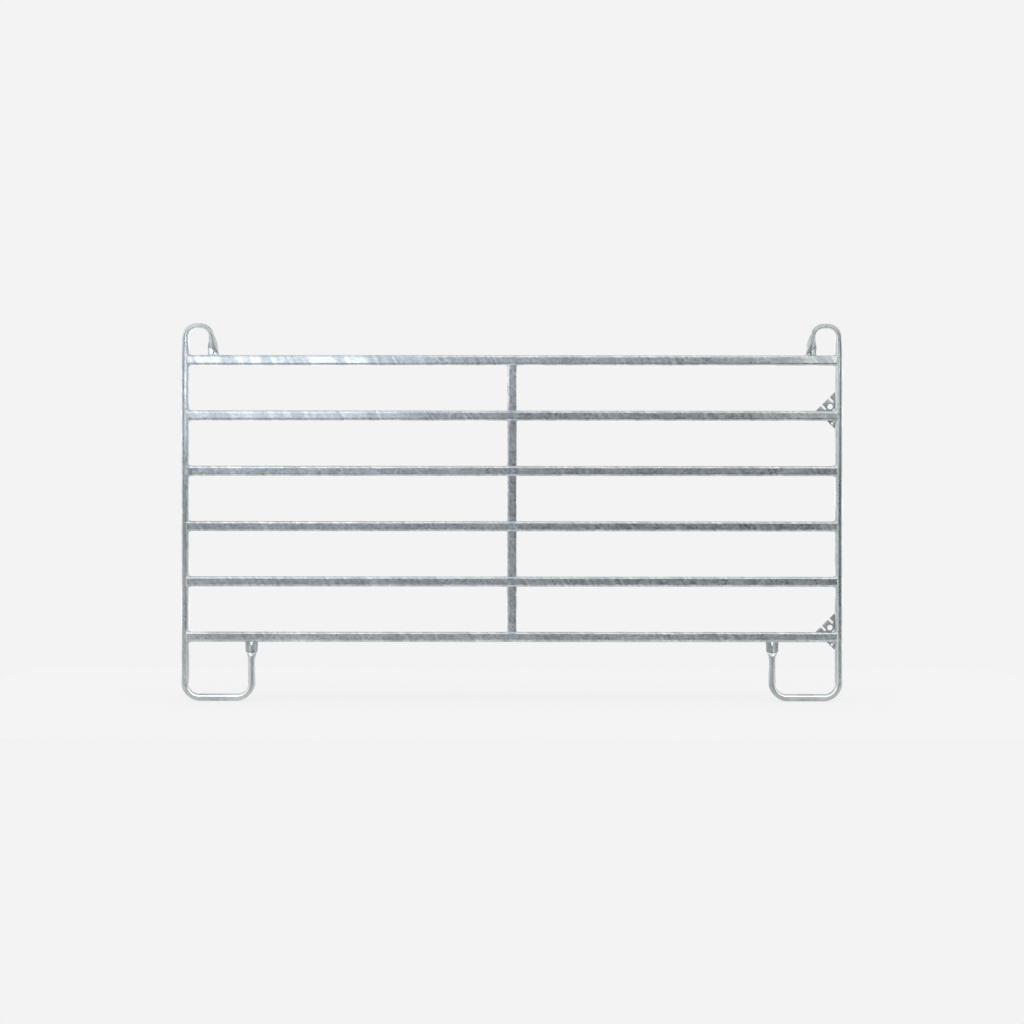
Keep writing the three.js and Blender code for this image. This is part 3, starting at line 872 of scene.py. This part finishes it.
# %% [markdown]
# The handle is bent a little less than half a turn, so its tip leans, and is cut level where it sits on the
# rail. The notch in each tip lets molten zinc run out of the tube. Both are cut with Boolean modifiers: a
# cutter is an outline pushed through the tube from front to back. No background shows through the handle's
# notches in the photograph, so those are cut through the front wall only.

# %% Notches, and two end tubes
CUT_REACH = 30
SEAT_CUT_HALF = 40
SEAT_CUT_HEIGHT = 30
NOTCH_OVERRUN = 6


def notch_outline(mouth, end, depth, overrun, steps=16):
    """A notch that narrows to a round end, open upwards, as (x, z) points from the middle of its mouth."""
    radius = end / 2
    points = [(mouth / 2, 0), (mouth / 2, overrun), (-mouth / 2, overrun), (-mouth / 2, 0)]
    for i in range(steps + 1):
        angle = math.pi + math.pi * i / steps
        points.append((radius * math.cos(angle), radius - depth + radius * math.sin(angle)))
    return points


def cutter(x, z, direction, outline, start=-CUT_REACH, end=CUT_REACH):
    """An outline pushed through the tube from start to end, which is both walls unless told otherwise."""
    bm = bmesh.new()
    front = [bm.verts.new(Vector((x + a, start, z + b * direction)) * MM) for a, b in outline]
    face = bm.faces.new(front)
    deep = bmesh.ops.extrude_face_region(bm, geom=[face])["geom"]
    bmesh.ops.translate(bm, vec=(0, (end - start) * MM, 0),
                        verts=[v for v in deep if isinstance(v, bmesh.types.BMVert)])
    bmesh.ops.recalc_face_normals(bm, faces=bm.faces)
    mesh = bpy.data.meshes.new("notch")
    bm.to_mesh(mesh)
    bm.free()
    return mesh


def cut(mesh, cutters):
    scratch = add_object("scratch", mesh)
    tools = [add_object("tool", cutter_mesh) for cutter_mesh in cutters]
    for tool in tools:
        boolean = scratch.modifiers.new("notch", "BOOLEAN")
        boolean.operation = "DIFFERENCE"
        boolean.solver = "EXACT"
        boolean.object = tool
    result = plain_mesh(scratch)
    for helper in [scratch] + tools:
        bpy.data.objects.remove(helper)
    return result


notch = notch_outline(NOTCH_WIDTH, NOTCH_END, NOTCH_DEPTH, NOTCH_OVERRUN)
under_seat = [(SEAT_CUT_HALF, 0), (SEAT_CUT_HALF, SEAT_CUT_HEIGHT),
              (-SEAT_CUT_HALF, SEAT_CUT_HEIGHT), (-SEAT_CUT_HALF, 0)]
for side, turn in SIDES:
    start, end = (0, CUT_REACH) if turn else (-CUT_REACH, 0)
    mesh = end_tube_mesh(turned=turn > 0)
    outward(mesh)
    mesh = cut(mesh, [
        cutter(-HANDLE_WIDTH, handle_seat, -1, under_seat),
        cutter(-HANDLE_WIDTH, handle_seat, -1, notch, start, end),
        cutter(-FOOT_WIDTH, foot_seat, 1, notch)])
    metal, gaps = outward(mesh)
    mesh.transform(Matrix.Rotation(turn, 4, "Z") @ moved(POST_X, 0))
    finish_piece(f"galvanised_{side}_end_tube", mesh, "galvanised_round_tube", f"{side}_end_tube",
                 sharp_angle=22)
    print(f"{side} end tube: {metal:.0f} cm3 of steel, open edges {gaps}, {len(mesh.polygons)} faces")

# %% [markdown]
# ## Plates
# The chain plates and anchor plates are sheared and punched from 5 mm plate. A flat curve is the plain way to
# make that: one closed outline and a hole, thickened and given a small rounded edge all round, as the shears
# and the zinc leave it. The curve is then made a mesh, so that it can be put in place.

# %% Plates from flat curves
PLATE = 5
EDGE_ROUND = 0.7
JOIN_DISTANCE = 0.02
SLOT_STEPS = 16


def corner_outline(leg, corner_cut, slots=()):
    """A plate in the angle between a rail and a post, as (x, z) points, with slots in its sloping edge."""
    points = [(-corner_cut, 0), (0, corner_cut), (0, leg)]
    downhill, inward = Vector((-1, -1)).normalized(), Vector((1, -1)).normalized()
    middle = Vector((-leg / 2, leg / 2))
    radius = SLOT_WIDTH / 2
    for place in slots:
        points.append(tuple(middle + downhill * (place - radius)))
        for i in range(SLOT_STEPS + 1):
            angle = math.pi * i / SLOT_STEPS
            point = middle + downhill * (place - radius * math.cos(angle))
            points.append(tuple(point + inward * (SLOT_DEPTH - radius + radius * math.sin(angle))))
        points.append(tuple(middle + downhill * (place + radius)))
    points.append((-leg, 0))
    return points


def hole_outline(inset, diameter, steps=40):
    return [(-inset + diameter / 2 * math.cos(2 * math.pi * i / steps),
             inset + diameter / 2 * math.sin(2 * math.pi * i / steps)) for i in range(steps)]


def plate_mesh(outlines):
    flat = bpy.data.curves.new("plate", "CURVE")
    flat.dimensions = "2D"
    flat.fill_mode = "BOTH"
    flat.extrude = (PLATE / 2 - EDGE_ROUND) * MM
    flat.bevel_depth = EDGE_ROUND * MM
    flat.bevel_resolution = 2
    flat.offset = -EDGE_ROUND * MM
    for outline in outlines:
        spline = flat.splines.new("POLY")
        spline.points.add(len(outline) - 1)
        for point, (x, z) in zip(spline.points, outline):
            point.co = (x * MM, z * MM, 0, 1)
        spline.use_cyclic_u = True
    scratch = add_object("scratch", flat)
    mesh = plain_mesh(scratch)
    bpy.data.objects.remove(scratch)
    bm = bmesh.new()
    bm.from_mesh(mesh)
    bmesh.ops.remove_doubles(bm, verts=bm.verts, dist=JOIN_DISTANCE * MM)
    bm.to_mesh(mesh)
    bm.free()
    mesh.transform(Matrix.Rotation(math.pi / 2, 4, "X"))
    return mesh


CHAIN_LEG = 84
CHAIN_CORNER_CUT = 12.2
SLOT_WIDTH = 9.5
SLOT_DEPTH = 27
SLOT_SPACING = 47
CHAIN_HOLE = 24
CHAIN_HOLE_INSET = 20
ANCHOR_LEG = 34
ANCHOR_CORNER_CUT = 8.7
ANCHOR_HOLE = 10.5
ANCHOR_HOLE_INSET = 11
ANCHOR_HOLE_STEPS = 28
plate_x = POST_X - TUBE_RADIUS - SEAT_GAP

for number in (1, RAIL_COUNT - 1):
    chain = plate_mesh([
        corner_outline(CHAIN_LEG, CHAIN_CORNER_CUT, (-SLOT_SPACING / 2, SLOT_SPACING / 2)),
        hole_outline(CHAIN_HOLE_INSET, CHAIN_HOLE)])
    metal, gaps = outward(chain)
    chain.transform(moved(plate_x, rail_height(number) + RAIL_HALF + SEAT_GAP))
    finish_piece(f"galvanised_chain_plate_{number}", chain, "galvanised_plate", f"chain_plate_{number}")
    print(f"chain plate {number}: {metal:.1f} cm3, open edges {gaps}, {len(chain.polygons)} faces")

    anchor = plate_mesh([
        corner_outline(ANCHOR_LEG, ANCHOR_CORNER_CUT),
        hole_outline(ANCHOR_HOLE_INSET, ANCHOR_HOLE, ANCHOR_HOLE_STEPS)])
    metal, gaps = outward(anchor)
    anchor_place = moved(plate_x, rail_height(number) - RAIL_HALF - SEAT_GAP)
    anchor.transform(anchor_place @ Matrix.Rotation(math.pi, 4, "X"))
    finish_piece(f"galvanised_anchor_plate_{number}", anchor, "galvanised_plate", f"anchor_plate_{number}")
    print(f"anchor plate {number}: {metal:.1f} cm3, open edges {gaps}, {len(anchor.polygons)} faces")

# %% [markdown]
# ## Weld beads
# A welder lays a bead as a row of small overlapping pools, which leaves ripples like a stack of coins. Here
# a bead is a path along the joint, drawn with a round profile whose size rises and falls once for each pool,
# and shaken a little by noise. The panel was welded before it was dipped, so the zinc covers the beads too.

# %% The tree for a weld bead
BEAD_STEP = 0.9
PROFILE_POINTS = 14
WANDER_SCALE = 140.0
POOL_LENGTH = 3.2
POOL_SIZES = (0.86, 1.02)
SWELL_SIZES = (0.88, 1.1)
BEAD_SHAKE = 0.9
SEED_STEP = 1.7


def bead_tree():
    tree, given = new_tree("weld_bead", Radius="Float", Pool="Float", Shake="Float", Seed="Float",
                           Material="Material")
    joint = add_node(tree, "GeometryNodeMeshToCurve", {"Mesh": given["Geometry"]})
    path = add_node(tree, "GeometryNodeResampleCurve", {
        "Curve": joint.outputs["Curve"], "Length": BEAD_STEP * MM,
    }, mode="LENGTH")
    place = add_node(tree, "GeometryNodeInputPosition").outputs[0]
    wander = add_node(tree, "ShaderNodeTexNoise", {
        "Vector": place, "W": given["Seed"], "Scale": WANDER_SCALE, "Detail": 1.0,
    }, noise_dimensions="4D")
    centred = add_node(tree, "ShaderNodeVectorMath", {
        0: wander.outputs["Color"], 1: (0.5, 0.5, 0.5),
    }, operation="SUBTRACT").outputs[0]
    shift = add_node(tree, "ShaderNodeVectorMath", {
        0: centred, "Scale": given["Shake"],
    }, operation="SCALE").outputs[0]
    shaken = add_node(tree, "GeometryNodeSetPosition", {"Geometry": path.outputs["Curve"], "Offset": shift})

    walked = add_node(tree, "GeometryNodeSplineParameter").outputs["Length"]
    pools = calculate(tree, "DIVIDE", walked, given["Pool"])
    pools = calculate(tree, "MULTIPLY", pools, math.pi)
    pools = calculate(tree, "SINE", pools)
    pools = calculate(tree, "ABSOLUTE", pools)
    ripple = add_node(tree, "ShaderNodeMapRange", {
        "Value": pools, "To Min": POOL_SIZES[0], "To Max": POOL_SIZES[1],
    }).outputs["Result"]
    swell = add_node(tree, "ShaderNodeMapRange", {
        "Value": wander.outputs["Fac"], "From Min": 0.3, "From Max": 0.7,
        "To Min": SWELL_SIZES[0], "To Max": SWELL_SIZES[1],
    }).outputs["Result"]
    size = calculate(tree, "MULTIPLY", ripple, swell)
    profile = add_node(tree, "GeometryNodeCurvePrimitiveCircle", {
        "Resolution": PROFILE_POINTS, "Radius": given["Radius"],
    })
    bead = add_node(tree, "GeometryNodeCurveToMesh", {
        "Curve": shaken.outputs["Geometry"], "Profile Curve": profile.outputs["Curve"], "Scale": size,
        "Fill Caps": True,
    })
    hand_out(tree, bead.outputs["Mesh"], given["Material"])
    return tree


BEAD_TREE = bead_tree()


def path_mesh(points, closed):
    mesh = bpy.data.meshes.new("joint")
    links = [(i, i + 1) for i in range(len(points) - 1)] + ([(len(points) - 1, 0)] if closed else [])
    mesh.from_pydata([Vector(p) * MM for p in points], links, [])
    return mesh


def rounded_rectangle(half_width, half_height, corner, steps=8):
    points = []
    for quarter, (sx, sy) in enumerate(((1, 1), (-1, 1), (-1, -1), (1, -1))):
        for i in range(steps + 1):
            angle = (quarter + i / steps) * math.pi / 2
            points.append((sx * (half_width - corner) + corner * math.cos(angle),
                           sy * (half_height - corner) + corner * math.sin(angle)))
    return points


def densely(points, closed, step=1.0):
    """The same line with a point at least every step."""
    dense = []
    following = points[1:] + (points[:1] if closed else [])
    for here, there in zip(points, following):
        here, there = Vector(here), Vector(there)
        count = max(math.ceil((there - here).length / step), 1)
        dense += [here.lerp(there, i / count) for i in range(count)]
    return dense if closed else dense + [Vector(points[-1])]


bead_seed = 0


def lay_bead(name, joint, closed, radius, where, node):
    global bead_seed
    bead_seed += 1
    mesh = run_tree(
        BEAD_TREE, source=path_mesh(joint, closed), Radius=radius * MM, Pool=POOL_LENGTH * MM,
        Shake=BEAD_SHAKE * MM, Seed=bead_seed * SEED_STEP, Material=SKINS["galvanised_weld"])
    outward(mesh)
    mesh.transform(where)
    finish_piece(name, mesh, "galvanised_weld", node, sharp_angle=60)
    return len(mesh.polygons)


# %% [markdown]
# Three kinds of joint: round the end of a rail on its post, round the end of an upright on its rail, and
# along each side of a pressed tip. Each joint line is worked out from the two surfaces that meet there.

# %% Beads at the rail ends
RAIL_BEAD = 4.3
RAIL_BEAD_OUTLINE = (18.3, 22, 8)
RAIL_BEAD_SEAT = 19.8
RAIL_BEAD_LEAST = 6.2


def rail_joint():
    """Round a rail's end, seen from the post's axis. The rail lies towards -X."""
    return [(-math.sqrt(max(RAIL_BEAD_SEAT ** 2 - y ** 2, RAIL_BEAD_LEAST ** 2)), y, z)
            for y, z in densely(rounded_rectangle(*RAIL_BEAD_OUTLINE), True)]


for number in range(1, RAIL_COUNT + 1):
    for side, turn in SIDES:
        where = Matrix.Rotation(turn, 4, "Z") @ moved(POST_X, rail_height(number))
        faces = lay_bead(f"galvanised_bead_rail_{number}_{side}", rail_joint(), True, RAIL_BEAD, where,
                         f"rail_{number}_{side}_weld")
print("a rail bead has", faces, "faces")

# %% Beads at the uprights
UPRIGHT_BEAD = 3.3
UPRIGHT_BEAD_OUTLINE = (21.6, 20.6, 9)
UPRIGHT_BEAD_RISE = 0.4


def upright_joint():
    """Round an upright's foot, seen from the middle of the rail below it."""
    line = []
    for x, y in densely(rounded_rectangle(*UPRIGHT_BEAD_OUTLINE), True):
        rise = math.sqrt(max(RAIL_CORNER ** 2 - max(abs(y) - RAIL_FLAT, 0) ** 2, 0))
        line.append((x, y, RAIL_FLAT + rise + UPRIGHT_BEAD_RISE))
    return line


for number in range(1, RAIL_COUNT):
    for end, turn, rail in (("lower", 0, number), ("upper", math.pi, number + 1)):
        where = moved(0, rail_height(rail)) @ Matrix.Rotation(turn, 4, "X")
        lay_bead(f"galvanised_bead_upright_{number}_{end}", upright_joint(), True, UPRIGHT_BEAD, where,
                 f"upright_{number}_{end}_weld")

# %% Beads at the pressed tips
TIP_BEAD = 2.3
TIP_BEAD_OUT = 1
TIP_BEAD_RISE = 0.9
TIP_STEPS = 12
NOTCH_CLEAR = 1.5


def tip_joint(squeeze):
    """Round one half of a pressed tip, seen from the middle of its end, from the notch to the notch."""
    flat = QUARTER * squeeze
    out = TUBE_RADIUS - squeeze + TIP_BEAD_OUT
    angles = [math.pi * i / TIP_STEPS for i in range(1, TIP_STEPS)]
    line = [(NOTCH_WIDTH / 2 + NOTCH_CLEAR, out), (flat, out)]
    line += [(flat + out * math.sin(angle), out * math.cos(angle)) for angle in angles]
    line += [(flat, -out), (NOTCH_WIDTH / 2 + NOTCH_CLEAR, -out)]
    return [(x, y, TIP_BEAD_RISE) for x, y in densely(line, False)]


handle_place = moved(-HANDLE_WIDTH, handle_seat)
foot_place = moved(-FOOT_WIDTH, foot_seat) @ Matrix.Rotation(math.pi, 4, "X")
for side, turn in SIDES:
    post_place = Matrix.Rotation(turn, 4, "Z") @ moved(POST_X, 0)
    for tip, tip_place, squeeze in (("handle", handle_place, HANDLE_TIP_SQUEEZE),
                                    ("foot", foot_place, FOOT_TIP_SQUEEZE)):
        for half, half_turn in (("inner", 0), ("outer", math.pi)):
            where = post_place @ tip_place @ Matrix.Rotation(half_turn, 4, "Z")
            lay_bead(f"galvanised_bead_{side}_{tip}_{half}", tip_joint(squeeze), False, TIP_BEAD, where,
                     f"{side}_{tip}_{half}_weld")
print("beads laid:", bead_seed)
